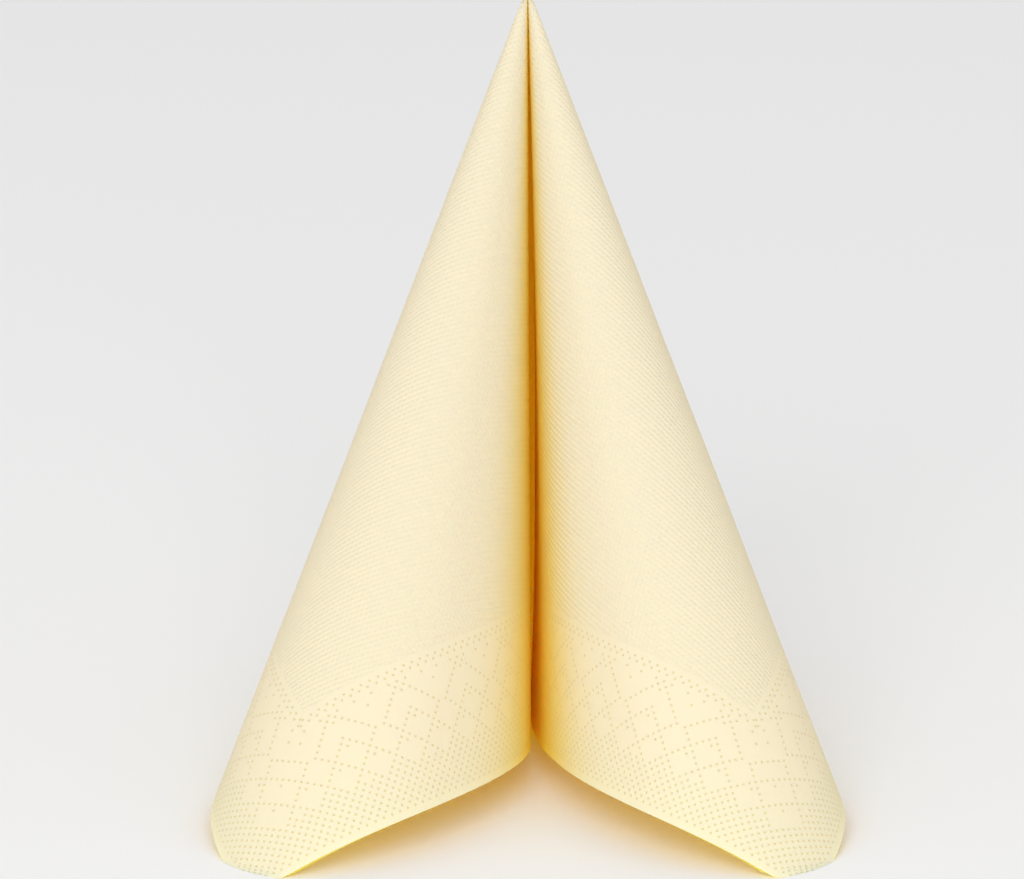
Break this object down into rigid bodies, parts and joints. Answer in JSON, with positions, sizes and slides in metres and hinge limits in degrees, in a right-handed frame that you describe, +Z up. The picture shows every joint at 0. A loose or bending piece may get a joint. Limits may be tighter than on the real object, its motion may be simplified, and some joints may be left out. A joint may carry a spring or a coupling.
{
  "type": "paper napkin",
  "caption": "Square tissue napkin folded in half and into a standing cone with two round open lobes, a groove between them and an embossed dotted border.",
  "frame": {"origin": "on the table under the middle of the bounding box", "axes": "+Z up, the groove between the lobes faces -Y, +X to the right seen from the front"},
  "size_m": [0.1416, 0.1464, 0.1609],
  "materials": {
    "tissue_paper": "matt soft tissue, embossed with small dots"
  },
  "bodies": {
    "root": {"folded_napkin": "tissue_paper"}
  },
  "joints": []
}
